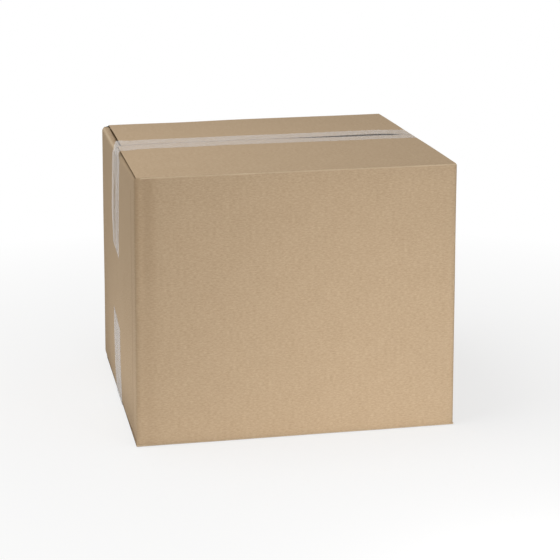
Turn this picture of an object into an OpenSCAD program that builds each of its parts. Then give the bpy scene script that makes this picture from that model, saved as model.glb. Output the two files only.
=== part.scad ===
// Closed shipping carton, taped shut over the top and the bottom seam.
// One sheet of corrugated board is scored, slotted and folded: four panels in a ring,
// joined by a glue tab at the front left corner, with four flaps above and four below.
// The two end flaps fold in first. The two long flaps fold over them and meet at a seam.
// Origin at the middle of the underside, X along the seam, front panel towards -Y, Z up.

/* [Box] */
// Length outside, along the seam
box_l = 300; // [296:1:420]
// Width outside, across the seam
box_w = 296; // [200:1:300]
// Height outside, from the underside to the long top folds
box_h = 250; // [190:1:400]

/* [Board] */
// Thickness of the board
board_t = 3; // [2:0.1:5]
// Inner radius of every fold
fold_r = 1; // [0.4:0.1:3]

/* [Top flaps] */
// Rise of the long top flaps from their folds to the seam
seam_lift = 4; // [0:0.1:8]
// Open seam between the long top flaps where they are shut, from the left end past the middle
seam_shut = 1.2; // [0.5:0.1:8]
// Open seam at its widest place
seam_open = 4.6; // [0.5:0.1:8]
// Open seam at the right end, where the tape draws the flaps together again
seam_right = 1.9; // [0.5:0.1:8]
// Distance of the widest place from the right end
seam_wide_in = 40; // [20:1:60]
// Length over which the seam opens, left of its widest place
seam_run = 88; // [40:1:120]
// Room between the long top flaps and the end flaps under them, at the long folds
top_room = 0.5; // [0.2:0.1:3]

/* [Bottom flaps] */
// Open seam between the long bottom flaps
seam_under = 2; // [0.5:0.1:8]
// Room between the long bottom flaps and the end flaps over them
bottom_room = 0.3; // [0.2:0.1:3]

/* [Slots] */
// Step from the left end panel to the end of the front top flap
slot_front = 1; // [0.5:0.1:6]
// Step from the left end panel to the end of the back top flap
slot_back = 4; // [0.5:0.1:6]
// Step from the right end panel to the ends of the long top flaps
slot_right = 1.5; // [0.5:0.1:6]
// Step from both end panels to the ends of the long bottom flaps
slot_under = 2; // [0.5:0.1:6]
// Room between each side of an end flap and the long panel beside it
side_room = 1.5; // [0.5:0.1:6]
// Narrowest gap kept between the free edges of two end flaps
end_flap_gap = 2; // [0.5:0.1:20]

/* [Glue tab] */
// Reach of the glue tab round the corner, over the left end panel
tab_w = 30; // [15:1:60]
// Thickness of the tab, crushed by the press that glued it
tab_t = 1.5; // [0.5:0.1:3]
// Slope of the two cut ends of the tab
tab_slope = 20; // [5:1:35]
// Room between the cut edge of the left end panel and the front panel
joint_room = 0.6; // [0.2:0.1:2]

/* [Tape] */
// Width of the tape
tape_w = 50; // [24:1:75]
// Thickness of the tape, film and adhesive
tape_t = 0.1; // [0.05:0.01:0.3]
// Room between the tape and the board it is stuck to
tape_room = 0.01; // [0.01:0.01:0.1]
// Distance of the middle of the tape behind the seam
tape_off = 2; // [-10:0.5:10]
// Reach of the top tape down both end panels
tape_down = 103; // [30:1:110]
// Reach of the bottom tape up both end panels
tape_up = 75; // [30:1:75]

/* [Hidden] */
$fn = 64;

// Outer radius of a fold, where the outer face of the board bends round the inner radius
bend_r = fold_r + board_t;
// The underside of the carton stands on the bottom tape
floor_z = tape_t + tape_room;
top_z = floor_z + box_h;
// Outer faces of the four panels: the left end panel lies inside the glue tab
left_x = -box_l / 2 + tab_t;
right_x = box_l / 2;
front_y = -box_w / 2;
back_y = box_w / 2;
// Outer faces of the end flaps, one board and its room inside the long flaps
end_top_z = top_z - board_t - top_room;
end_floor_z = floor_z + board_t + bottom_room;
// The ring of panels ends where the end flaps start to bend
ring_floor_z = end_floor_z + bend_r;
ring_top_z = end_top_z - bend_r;
// Flat length of a long flap from the end of its bend to the middle line, and of an end flap.
// A sheet is cut with all its flaps equal, so an end flap falls short only if the box is short.
long_flap = box_w / 2 - bend_r;
end_flap = min(long_flap, (right_x - left_x - end_flap_gap) / 2 - bend_r);
// Angle at which a long top flap climbs to the seam
lift_angle = asin(seam_lift / long_flap);
// Stations of the curved part of the top seam
seam_steps = 24;
// Flats that carry the tape round the bend of an end flap
bend_steps = 6;

// Flat sheet shapes seen along the fold, with the corner of the two outer faces at the origin:
// the panel hangs down from it and the flap runs to the right, raised by the lift angle
module fold_profile(panel, flap, lift) {
    far = 3 * bend_r;
    translate([0, -bend_r - panel]) square([board_t, panel]);
    translate([bend_r, -bend_r]) {
        intersection() {
            difference() {
                circle(r = bend_r);
                circle(r = fold_r);
            }
            polygon([[0, 0], [-far, 0], [-far, far], far * [cos(90 + lift), sin(90 + lift)]]);
        }
        rotate(lift) translate([0, fold_r]) square([flap, board_t]);
    }
}

// A long panel's fold and flap, from x0 to x1, for the front of the box
module long_fold(x0, x1, panel, lift) {
    translate([x0, front_y, 0]) rotate([90, 0, 90]) linear_extrude(height = x1 - x0)
        fold_profile(panel, long_flap, lift);
}

// An end panel's fold and flap for the left end of the box, as wide as the long panels let it be
module end_fold() {
    half = box_w / 2 - board_t - side_room;
    translate([0, half, 0]) rotate([90, 0, 0]) linear_extrude(height = 2 * half)
        fold_profile(board_t, end_flap, 0);
}

// Plan of a rectangle with rounded corners
module round_plan(x0, x1, y0, y1, r) {
    translate([x0 + r, y0]) square([x1 - x0 - 2 * r, y1 - y0]);
    translate([x0, y0 + r]) square([x1 - x0, y1 - y0 - 2 * r]);
    for (x = [x0 + r, x1 - r], y = [y0 + r, y1 - r]) translate([x, y]) circle(r = r);
}

// Plan of the fold at the front left corner, where the front panel turns into the tab
module tab_corner_plan() {
    x = -box_l / 2;
    intersection() {
        translate([x + bend_r, front_y + bend_r]) circle(r = bend_r);
        translate([x, front_y]) square(bend_r);
    }
    translate([x + bend_r, front_y]) square([bend_r, board_t]);
}

// The tab runs back from that fold outside the end panel, with two sloping cut ends
module glue_tab() {
    flat = tab_w - bend_r;
    drop = flat * tan(tab_slope);
    translate([-box_l / 2, front_y + bend_r, 0]) rotate([90, 0, 90])
        linear_extrude(height = tab_t + board_t / 2)
            polygon([[0, ring_floor_z], [flat, ring_floor_z + drop],
                [flat, ring_top_z - drop], [0, ring_top_z]]);
}

// Plan of the four panels, with rounded corner folds
module ring_plan() {
    difference() {
        round_plan(left_x, right_x, front_y, back_y, bend_r);
        round_plan(left_x + board_t, right_x - board_t,
            front_y + board_t, back_y - board_t, fold_r);
    }
    tab_corner_plan();
}

// The four panels round the box. The left end panel's cut edge stops short of the front
// panel, under the tab, so that corner has no rounded inside.
module panel_ring() {
    difference() {
        union() {
            translate([0, 0, ring_floor_z]) linear_extrude(height = ring_top_z - ring_floor_z)
                ring_plan();
            corner_stubs();
            glue_tab();
        }
        translate([left_x, front_y + board_t, 0]) cube([board_t, joint_room, top_z]);
        translate([left_x + board_t, front_y + board_t, 0]) cube([fold_r, fold_r, top_z]);
    }
}

// The slots between the flaps are cut down to the middle of the long panels' bends, so each
// corner fold stands up past the end panels, beside the ends of the long folds
module corner_stubs() {
    half_bend = PI / 4 * (fold_r + board_t / 2);
    over = top_z - bend_r + half_bend - ring_top_z;
    under = ring_floor_z - (floor_z + bend_r - half_bend);
    y1 = box_w / 2 - board_t - side_room;
    for (corner = [
        [left_x + slot_front, -1, ring_top_z, over], [left_x + slot_back, 1, ring_top_z, over],
        [right_x - slot_right, -1, ring_top_z, over], [right_x - slot_right, 1, ring_top_z, over],
        [left_x + slot_under, -1, ring_floor_z - under, under],
        [left_x + slot_under, 1, ring_floor_z - under, under],
        [right_x - slot_under, -1, ring_floor_z - under, under],
        [right_x - slot_under, 1, ring_floor_z - under, under]
    ])
        translate([0, 0, corner[2]]) linear_extrude(height = corner[3]) intersection() {
            ring_plan();
            translate([corner[0] < 0 ? corner[0] - box_l : corner[0], corner[1] < 0 ? -y1 - box_w : y1])
                square([box_l, box_w]);
        }
}

// Soft step from 0 to 1
function ease(t) = let (c = min(max(t, 0), 1)) c * c * (3 - 2 * c);

// Width of the open top seam along the box: shut, then a long lens before the right end
function seam_gap(x) =
    let (wide = right_x - seam_wide_in)
    x < wide
        ? seam_shut + (seam_open - seam_shut) * ease((x - wide + seam_run) / seam_run)
        : seam_open + (seam_right - seam_open) * ease((x - wide) / seam_wide_in);

// Plan of the open top seam, cut down through the free edges of the long top flaps
module top_seam_plan() {
    from = right_x - seam_wide_in - seam_run;
    xs = concat([left_x], [for (i = [0:seam_steps]) from + (right_x - from) * i / seam_steps]);
    polygon(concat([for (x = xs) [x, -seam_gap(x) / 2]],
        [for (i = [len(xs) - 1:-1:0]) [xs[i], seam_gap(xs[i]) / 2]]));
}

// The two long top flaps, each with its own step at the left end
module long_top_flaps() {
    panel = top_z - bend_r - ring_top_z;
    difference() {
        translate([0, 0, top_z]) {
            long_fold(left_x + slot_front, right_x - slot_right, panel, lift_angle);
            mirror([0, 1, 0]) long_fold(left_x + slot_back, right_x - slot_right, panel, lift_angle);
        }
        translate([0, 0, ring_top_z]) linear_extrude(height = box_h) top_seam_plan();
    }
}

module long_bottom_flaps() {
    panel = ring_floor_z - floor_z - bend_r;
    difference() {
        translate([0, 0, floor_z]) for (side = [0, 1])
            mirror([0, side, 0]) mirror([0, 0, 1])
                long_fold(left_x + slot_under, right_x - slot_under, panel, 0);
        translate([left_x, -seam_under / 2, floor_z - board_t])
            cube([right_x - left_x, seam_under, 3 * board_t]);
    }
}

module end_flaps() {
    for (z = [end_top_z, end_floor_z], side = [0, 1])
        mirror([side, 0, 0]) translate([side == 0 ? left_x : -right_x, 0, z])
            mirror([0, 0, z == end_floor_z ? 1 : 0]) end_fold();
}

module carton() {
    color("#b99f80") union() {
        panel_ring();
        end_flaps();
        long_top_flaps();
        long_bottom_flaps();
    }
}

// Half of the side view of what a strip of tape is stuck to, grown by the skin: up the end
// panel to the shoulder, round the bend of the end flap, and from where it lifts off straight
// on past the ends of the long flaps, at the given height. Measured from the panel's face.
function end_points(height, slot, skin) =
    let (
        r = bend_r + skin,
        tip = slot - skin,
        off = atan2(height, tip - bend_r) + acos(r / norm([tip - bend_r, height])),
        lean = (tip - bend_r - r * cos(off)) / (height - r * sin(off)),
        climb = skin + board_t
    )
    concat(
        [[-skin, -box_h]],
        [for (i = [0:bend_steps]) let (a = 180 + (off - 180) * i / bend_steps)
            [bend_r + r * cos(a), r * sin(a)]],
        [[tip + lean * climb, height + climb]]
    );

// What a strip of tape is stuck to, grown by the skin: two slopes that meet in a ridge at the
// crest, and the ends of the box below it
module wrapped(crest, shoulder, lift, slots, skin) {
    half = box_w / 2;
    ridge = crest + skin;
    low = crest - box_h;
    left = end_points(crest - shoulder, slots[0], skin);
    right = end_points(crest - shoulder, slots[1], skin);
    intersection() {
        translate([-box_l, 0, 0]) rotate([90, 0, 90]) linear_extrude(height = 2 * box_l)
            polygon([[-half, low], [half, low], [half, ridge - half * tan(lift)],
                [0, ridge], [-half, ridge - half * tan(lift)]]);
        translate([0, half, shoulder]) rotate([90, 0, 0]) linear_extrude(height = box_w)
            polygon(concat([for (p = left) [left_x + p[0], p[1]]],
                [for (i = [len(right) - 1:-1:0]) [right_x - right[i][0], right[i][1]]]));
    }
}

// A strip of tape along the seam and over both end panels, as far as its reach
module tape_strip(crest, shoulder, lift, slots, reach) {
    color("#c6bcb2") intersection() {
        difference() {
            wrapped(crest, shoulder, lift, slots, tape_room + tape_t);
            wrapped(crest, shoulder, lift, slots, tape_room);
        }
        translate([-box_l, tape_off - tape_w / 2, crest - reach]) cube([2 * box_l, tape_w, box_h]);
    }
}

module top_tape() {
    crest = top_z - bend_r + bend_r / cos(lift_angle) + long_flap * tan(lift_angle);
    tape_strip(crest, ring_top_z, lift_angle, [min(slot_front, slot_back), slot_right], tape_down);
}

module bottom_tape() {
    mirror([0, 0, 1])
        tape_strip(-floor_z, -ring_floor_z, 0, [slot_under, slot_under], tape_up);
}

carton();
top_tape();
bottom_tape();
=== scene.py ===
import math
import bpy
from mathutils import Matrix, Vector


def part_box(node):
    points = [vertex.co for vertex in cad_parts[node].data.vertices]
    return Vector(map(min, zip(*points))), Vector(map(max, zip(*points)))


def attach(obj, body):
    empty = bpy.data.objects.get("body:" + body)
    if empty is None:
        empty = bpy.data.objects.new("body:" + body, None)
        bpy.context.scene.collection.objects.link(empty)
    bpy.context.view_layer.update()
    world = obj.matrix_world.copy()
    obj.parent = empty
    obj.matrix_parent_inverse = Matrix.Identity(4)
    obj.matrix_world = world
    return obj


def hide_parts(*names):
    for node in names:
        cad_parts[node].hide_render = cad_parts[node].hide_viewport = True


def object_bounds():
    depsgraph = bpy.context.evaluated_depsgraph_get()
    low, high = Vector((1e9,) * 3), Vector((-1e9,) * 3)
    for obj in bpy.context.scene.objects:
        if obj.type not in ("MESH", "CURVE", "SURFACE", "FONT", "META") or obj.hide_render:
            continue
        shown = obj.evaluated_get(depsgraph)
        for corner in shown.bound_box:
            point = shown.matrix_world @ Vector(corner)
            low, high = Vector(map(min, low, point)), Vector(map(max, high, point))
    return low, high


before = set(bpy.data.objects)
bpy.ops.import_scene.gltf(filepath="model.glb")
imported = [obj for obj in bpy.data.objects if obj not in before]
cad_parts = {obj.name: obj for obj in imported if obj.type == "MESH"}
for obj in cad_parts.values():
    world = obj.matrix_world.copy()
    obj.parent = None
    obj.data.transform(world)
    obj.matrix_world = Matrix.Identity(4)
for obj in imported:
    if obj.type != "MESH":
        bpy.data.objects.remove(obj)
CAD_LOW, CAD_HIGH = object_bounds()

from types import SimpleNamespace

import bpy
import numpy as np
from bpy.props import FloatProperty, FloatVectorProperty, IntProperty, PointerProperty
from mathutils import Matrix, Vector

bl_info = {
    "name": "Closed Shipping Carton",
    "version": (1, 0, 0),
    "blender": (4, 5, 0),
    "location": "View3D > Sidebar > Carton",
    "description": "Folds, corrugates and tapes a closed carton of corrugated board",
    "category": "Object",
}

# The maths of the shapes below is in millimetres, in the frame of the CAD model: X along the
# top seam, the front panel towards -Y, Z up from the underside. MM turns it to metres.
MM = 0.001


def linear(code):
    """An sRGB hex colour as linear red, green, blue and alpha."""
    parts = [int(code[i : i + 2], 16) / 255 for i in (1, 3, 5)]
    return (*[c / 12.92 if c <= 0.04045 else ((c + 0.055) / 1.055) ** 2.4 for c in parts], 1.0)


def length(name, description, default_mm, low=0.0):
    """A size that the user may change, given here in millimetres."""
    return FloatProperty(
        name=name, description=description, default=default_mm * MM, min=low * MM,
        unit="LENGTH", subtype="DISTANCE", precision=5,
    )


def tint(name, description, code):
    """A colour that the user may change."""
    return FloatVectorProperty(
        name=name, description=description, default=linear(code), size=4, min=0, max=1, subtype="COLOR"
    )


def power(name, description, default):
    """The power of a lamp, in watts."""
    return FloatProperty(name=name, description=description, default=default, min=0, unit="POWER")


def angle(name, description, degrees):
    """An angle that the user may change, given here in degrees."""
    return FloatProperty(
        name=name, description=description, default=math.radians(degrees), subtype="ANGLE"
    )


class CartonSizes(bpy.types.PropertyGroup):
    height: length("Height", "Height from the underside to the long top folds", 250.0, 100.0)
    board: length("Board", "Thickness of the board", 3.0, 1.0)
    crushed: length(
        "Crushed board", "Thickness of the board where a fold or a slot crushed it", 1.35, 0.8
    )
    fold_radius: length(
        "Fold radius", "Inner radius of the upright folds and the end flaps' folds", 1.0
    )
    crest_radius: length("Crest radius", "Outer radius of the long flaps' sharper folds", 2.0, 0.5)
    crown: length("Crown", "How far an end flap's fold bulges past its flap at the corners", 1.75)
    sink_front: length(
        "Sink before the seam",
        "How much less it bulges towards the seam, under the front flap", 0.6
    )
    sink_back: length(
        "Sink behind the seam", "How much less it bulges towards the seam, under the back flap", 2.8
    )
    liner: length("Liner", "Thickness of each paper liner at a cut edge", 0.25)
    flute_pitch: length("Flute pitch", "Distance from one flute to the next", 8.0, 2.0)
    paper: length("Fluting paper", "Thickness of the fluted paper", 0.25)
    seam_lift: length("Seam lift", "Rise of the long top flaps from their folds to the seam", 4.0)
    seam_closed: length("Seam, closed part", "Open seam over the left half of the top", 1.2)
    seam_open: length("Seam, open part", "Widest place of the seam, near the right end", 5.0)
    seam_dip: length("Dip at the seam", "How far the front flap sinks where the seam is open", 0.6)
    end_dip: length(
        "Dip at the ends", "How far the seam sinks at both ends, where the tape pulls it down", 0.9
    )
    corner_dip: length("Crushed corner", "How far the back left top corner is crushed", 0.7)
    seam_under: length("Lower seam", "Open seam between the long bottom flaps", 2.0)
    slot_front: length("Front slot", "Step from the left end panel to the front top flap", 0.4)
    slot_back: length(
        "Back slot", "Step from the left end panel to the back top flap, at its fold", 7.0
    )
    flap_grows: length(
        "Back flap grows",
        "How much further the back top flap reaches left at the seam than at its fold", 2.8
    )
    slot_right: length(
        "Front right slot", "Step from the right end panel to the front top flap, at its fold", 1.5
    )
    slot_far: length(
        "Back right slot", "Step from the right end panel to the back top flap, at its fold", 0.1
    )
    seam_right: length(
        "Right step", "Step from the right end panel to both long top flaps, at the seam", 4.5
    )
    slot_under: length("Lower slots", "Step from both end panels to the long bottom flaps", 0.3)
    top_room: length("Upper room", "Room between the long top flaps and the end flaps", 0.5)
    bottom_room: length("Lower room", "Room between the long bottom flaps and the end flaps", 0.3)
    side_room: length("Side room", "Room between an end flap and the long panel beside it", 1.5)
    tab_width: length("Glue tab", "Reach of the glue tab round the front left corner", 30.0)
    tab_board: length("Tab thickness", "Thickness of the crushed glue tab", 1.5)
    tab_slope: angle("Tab slope", "Slope of the two cut ends of the glue tab", 20)
    joint_room: length("Joint", "Room between the end panel's cut edge and the front panel", 0.6)
    swell: length("Swell", "How far the left end panel swells outwards", 2.2)
    dent: length("Dent", "Depth of the soft dent beside the front left corner", 0.55)
    lean: length("Lean", "How far the front panel leans in towards its left fold", 1.0)
    foot_skew: length(
        "Skewed foot",
        "How far the lower left edge is skewed, out at the front and in at the back", 1.6
    )
    side_lean: length("Leaning side", "How far the left side of the box leans in at the top", 4.2)
    seed: IntProperty(name="Seed", description="Picks the unevenness of the board", default=7, min=0)


class TapeSizes(bpy.types.PropertyGroup):
    width: length("Width", "Width of the tape", 50.0, 10.0)
    course: length(
        "Course", "How much further back the top tape lies at its right end than at its left", 2.4
    )
    film: length("Film", "Thickness of the film", 0.07, 0.02)
    offset: length("Offset", "Distance of the middle of the tape behind the seam", 2.0)
    down: length("Reach down", "Reach of the top tape down both end panels", 103.0)
    up: length("Reach up", "Reach of the bottom tape up both end panels", 83.0)
    lifted: length("Lifted", "Height of the wrinkles in the tape on the left end panel", 0.7)
    flare: length(
        "Flare", "How far the edges of the tape stray where it turns down at the left end", 3.0
    )
    tooth: length("Cutter tooth", "Distance between the teeth that cut the tape", 2.0, 0.5)
    seed: IntProperty(name="Seed", description="Picks the waves in the tape", default=3, min=0)


class CartonColours(bpy.types.PropertyGroup):
    kraft: tint("Kraft liner", "Colour of the outer paper", "#c0a98c")
    fibre_and_shade: tint("Fibre", "Colour of the darker fibres in the paper", "#94795a")
    # pale on the folds: partly stretched paper, partly a painted highlight
    crease_and_highlight: tint("Crease", "Colour of the stretched paper on a fold", "#d6c3a6")
    # far darker than the paper: painted shade of the hollow cut edges
    cut_edge_and_shade: tint("Raw edge", "Colour of the fluted paper in a cut edge", "#6b5637")
    # the pale haze of the tape: partly real haze, partly painted reflection of the white surroundings
    film: tint("Tape", "Colour of the haze in the tape", "#e9e7e6")
    floor: tint("Floor", "Colour of the studio floor", "#f4f4f3")


class StudioSetup(bpy.types.PropertyGroup):
    sky: FloatProperty(
        name="Sky", description="Strength of the even light from all round", default=0.42, min=0
    )
    top: power("Top", "Power of the large lamp over the front left", 4.0)
    low: power("Low", "Power of the small lamp low before the front panel", 1.22)
    front_card: power(
        "Front card", "Power of the light card that lies before the front panel", 0.045
    )
    left_card: power(
        "Left card", "Power of the light card that lies beside the left end panel", 0.165
    )
    lens: FloatProperty(
        name="Lens", description="Focal length for a 36 mm sensor", default=117.146,
        subtype="DISTANCE_CAMERA",
    )
    camera: FloatVectorProperty(
        name="Camera", description="Place of the camera", default=(-0.32095, -1.71601, 0.55732),
        size=3, subtype="TRANSLATION", unit="LENGTH",
    )
    turn: angle("Turn", "Turn of the camera about the upright", -11.0158)
    tilt: angle("Tilt", "Tilt of the camera below the level", 14.2935)
    roll: angle("Roll", "How far the camera was held askew", -0.469)


# ---------------------------------------------------------------- shapes

# The grid of the board: finest step, coarsest step, and how far from an edge it is coarsest.
GRID = (1.2, 5.0, 30)
HIDDEN_GRID = (1.5, 9, 40)  # on the end flaps, which the long flaps cover
FLAP = 144  # about the length of a flap, which scales these steps
CORNER_STEPS, FOLD_STEPS = 7, 8
BENT = 1.7  # thickness of the board in the sharp folds of the long flaps

# How far the faces of the board lie off their true place, in millimetres.
WEAR = SimpleNamespace(
    sunk=0.06, waves=0.3, wave_length=95, dish_long=0.5, dish_right=0.6, off_tab=0.25, off_foot=0.6,
    at_long_folds=0.55, fold=0.1, fold_waves=0.12, fold_ripples=0.06, corner=0.1, corner_waves=0.1,
    roof_waves=0.35,
)


def smooth(x):
    """0 to 1 with soft ends."""
    x = np.clip(x, 0.0, 1.0)
    return x * x * (3 - 2 * x)


def ramp(x, start, end):
    """0 at the start, 1 at the end, with soft ends."""
    return smooth((x - start) / (end - start))


def hump(x, middle, half):
    """1 at the middle, 0 at half a width away, with soft ends."""
    return smooth(1 - np.abs(x - middle) / half)


def arch(x, middle, half):
    """1 at the middle, 0 at half a width away, as a parabola."""
    return np.clip(1 - ((x - middle) / half) ** 2, 0, 1)


def points(*parts):
    """Places or directions from their parts, of which some may be one number for all."""
    return np.stack(np.broadcast_arrays(*parts), -1)


def uneven(a, b, wave, seed):
    """A soft unevenness from about -1 to 1 over two lengths, with waves about that long."""
    waves, shortest, longest, peak = 7, 0.6, 1.7, 4.2
    rng = np.random.default_rng(seed)
    total = 0.0
    for _ in range(waves):
        way, phase = rng.uniform(0, math.tau), rng.uniform(0, math.tau)
        stretch = rng.uniform(shortest, longest)
        along = a * math.cos(way) + b * math.sin(way)
        total = total + np.sin(along * math.tau / (wave * stretch) + phase)
    return total / peak


def stations(start, end, fine, coarse, reach):
    """Places from start to end, close together near both ends."""
    span, steps = abs(end - start), [0.0]
    while steps[-1] < span / 2:
        steps.append(steps[-1] + fine + (coarse - fine) * min(1, steps[-1] / reach))
    half = np.array(steps) * (span / 2) / steps[-1]
    return start + (end - start) * np.concatenate([half, (span - half[:-1])[::-1]]) / span


def in_millimetres(group):
    """The sizes of a group in millimetres, with its seed and its slope as they are."""
    values = {name: getattr(group, name) for name in type(group).__annotations__}
    as_they_are = ("seed", "tab_slope")
    return SimpleNamespace(**{n: v if n in as_they_are else v / MM for n, v in values.items()})


def derived(sizes):
    """Every place that the shapes need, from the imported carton's own box and the sizes."""
    low, high = (np.array(corner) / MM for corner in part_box("carton"))
    d = in_millimetres(sizes)
    d.r = d.fold_radius + d.board
    d.left, d.right = low[0] + d.tab_board, high[0]
    d.front, d.back = low[1], high[1]
    d.flap = high[1] - d.r
    d.floor = low[2]
    d.top = d.floor + d.height
    d.shoulder = d.top - d.board - d.top_room - d.r
    d.foot = d.floor + d.board + d.bottom_room + d.r
    # the sharper fold starts higher, so the flap climbs a little less to the same crest
    reach, r = d.back - d.crest_radius, d.crest_radius
    d.lift = math.atan(d.seam_lift / reach)
    d.crest = d.top - r + r / math.cos(d.lift) + reach * math.tan(d.lift)
    # where the long panels end above and below, a little short of their flaps' folds
    d.ears = (d.top - r - 0.1, d.floor + r + 0.1)
    return d


def crown(y, upper, d):
    """How far the folds of the end flaps bulge past their flat flaps, towards the long flaps."""
    y = np.asarray(y)
    if not upper:
        return np.full(y.shape, d.crown)
    sink = d.sink_front + (d.sink_back - d.sink_front) * ramp(y, -25, 25)
    return d.crown - sink * arch(y, 0, 143)


def crushed(place, d):
    """The places with the left side leaning in, its foot askew and its back top corner crushed down."""
    x, y, z = place[..., 0], place[..., 1], place[..., 2]
    moved = np.array(place, float)
    moved[..., 0] += d.side_lean * np.clip(z / d.top, 0, 1) * (d.right - x) / (2 * d.right)
    moved[..., 0] += d.foot_skew * (y / d.back) * ramp(x, -132, -146) * ramp(z, 9, 4)
    moved[..., 2] -= d.corner_dip * ramp(x, 30, -95) * ramp(y, 80, 146) * ramp(z, 190, 250)
    return moved


def opened(x):
    """How far the top seam is open along its length: not at all on the left, fully near the right
    end, and not at the right end itself, where the tape draws the flaps together."""
    return ramp(x, -6, 94) * (1 - ramp(x, 123, 142))


def seam_edge(x, side, d):
    """Distance of a long top flap's free edge from the middle line. The front flap gives more of
    the open seam than the back one."""
    share = 0.56 if side < 0 else 0.44
    return d.seam_closed / 2 + share * (d.seam_open - d.seam_closed) * opened(x)


def flap_skew(x, side, d):
    """How far the ends of a long top flap lie off square at its free edge."""
    grown = d.flap_grows if side > 0 else 0.0
    slot = d.slot_right if side < 0 else d.slot_far
    return -grown * ramp(x, -110, -140) - (d.seam_right - slot) * ramp(x, 110, 146)


def settled(place, out, d, roofed=1.0):
    """How far the outer face of the board sits off its true place, along its outward direction.
    The four panels only sink in, so that they stay inside the CAD box. The left end panel, which
    lies inside the glue tab, swells."""
    x, y, z = place[..., 0], place[..., 1], place[..., 2]
    nx, ny, nz = out[..., 0], out[..., 1], out[..., 2]
    w, long, share = WEAR, ny * ny, nx * nx + ny * ny + nz * nz
    wave = 0.5 + 0.5 * uneven(x + 0.7 * y, z - 0.6 * y, w.wave_length, d.seed)
    total = -w.sunk - w.waves * np.clip(wave, 0, 1)
    # the panels dish a little between their folds
    dish_x, dish_y, dish_z = arch(x, 0, 150), arch(y, 0, 148), arch(z, 125, 125)
    total = total - w.dish_long * ny * ny * dish_x * dish_z / share
    right = np.clip(nx, 0, 1) ** 2
    total = total - w.dish_right * right * dish_y * dish_z
    # the left end panel swells behind the glue tab, and its foot stands off a little
    left = np.clip(-nx, 0, 1) ** 2 * (x > d.left - 0.6)
    total = total + left * d.swell * ramp(y, -112, -42) * ramp(y, 144, 84) * dish_z
    foot = w.off_tab + w.off_foot * ramp(z, 95, 35) * ramp(y, 130, 40)
    total = total + left * foot * ramp(y, -112, -72)
    # soft dent beside the front left corner, where the press crushed the board for the tab
    front = np.clip(-ny, 0, 1) ** 2
    deep = 0.15 + 0.85 * ramp(z, 90, 180) * (1 + 0.2 * uneven(z, 0 * z, 70, d.seed + 1))
    total = total - front * d.dent * deep * hump(x, -141.2, 5.5) * ramp(z, 248, 234)
    total = total - front * d.lean * ramp(x, -126, -150)
    # the long panels lean in towards the folds of their flaps
    total = total - long * w.at_long_folds * (ramp(z - d.top, -11, 0) + ramp(z - d.floor, 9, 0))
    # folds: crushed unevenly along their length
    along = np.where(np.abs(nx) > 0.5, y, x)
    fold = 4 * ny * ny * nz * nz + 4 * nx * nx * nz * nz
    waves = w.fold_waves * uneven(along, z * 0, 16, d.seed + 2)
    ripples = w.fold_ripples * uneven(along, 0 * z, 5, d.seed + 3)
    total = total - fold * (w.fold + waves + ripples)
    corner = 4 * nx * nx * ny * ny
    waves = w.corner_waves * uneven(z, x * 0, 30, d.seed + 4)
    total = total - corner * (w.corner + waves)
    # the seam sinks at its ends, the front top flap where it is open, and both wave a little
    roof, near = np.clip(nz, 0, 1) ** 2 * roofed, hump(y, 0, 70)
    total = total - roof * d.end_dip * ramp(np.abs(x), 112, 148) * hump(y, 0, 120)
    total = total - roof * (y < 0) * d.seam_dip * opened(x) * near
    waves = 0.5 + 0.5 * uneven(x, y * 0.2, 60, d.seed + 5)
    total = total - roof * near * w.roof_waves * waves
    return np.minimum(total, 0.0) * (1 - left) + total * left


class Sheet:
    """The outer face of the folded board, put together from patches that share their edges."""

    def __init__(self):
        self.index, self.faces = {}, []
        self.place, self.out, self.thick, self.flat, self.roofed = [], [], [], [], []

    def add(self, place, out, thick, flat, roofed=1.0, turned=False):
        """Adds a patch of rows by columns. Its faces point outwards where columns run along the
        ring and rows run up. Roofed is 0 where the patch lies under the long flaps."""
        rows, columns = place.shape[:2]
        thick = np.broadcast_to(thick, (rows, columns))
        names = np.zeros((rows, columns), int)
        for r in range(rows):
            for c in range(columns):
                # patches share the points that lie within a thousandth of a millimetre
                key = tuple(np.round(place[r, c], 3) + 0.0)
                if key not in self.index:
                    self.index[key] = len(self.place)
                    self.place.append(place[r, c])
                    self.out.append(out[r, c])
                    self.thick.append(thick[r, c])
                    self.flat.append(flat[r, c])
                    self.roofed.append(roofed)
                names[r, c] = self.index[key]
        for r in range(rows - 1):
            for c in range(columns - 1):
                face = [names[r, c], names[r, c + 1], names[r + 1, c + 1], names[r + 1, c]]
                if len(set(face)) == 4:
                    self.faces.append(face[::-1] if turned else face)


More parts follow.
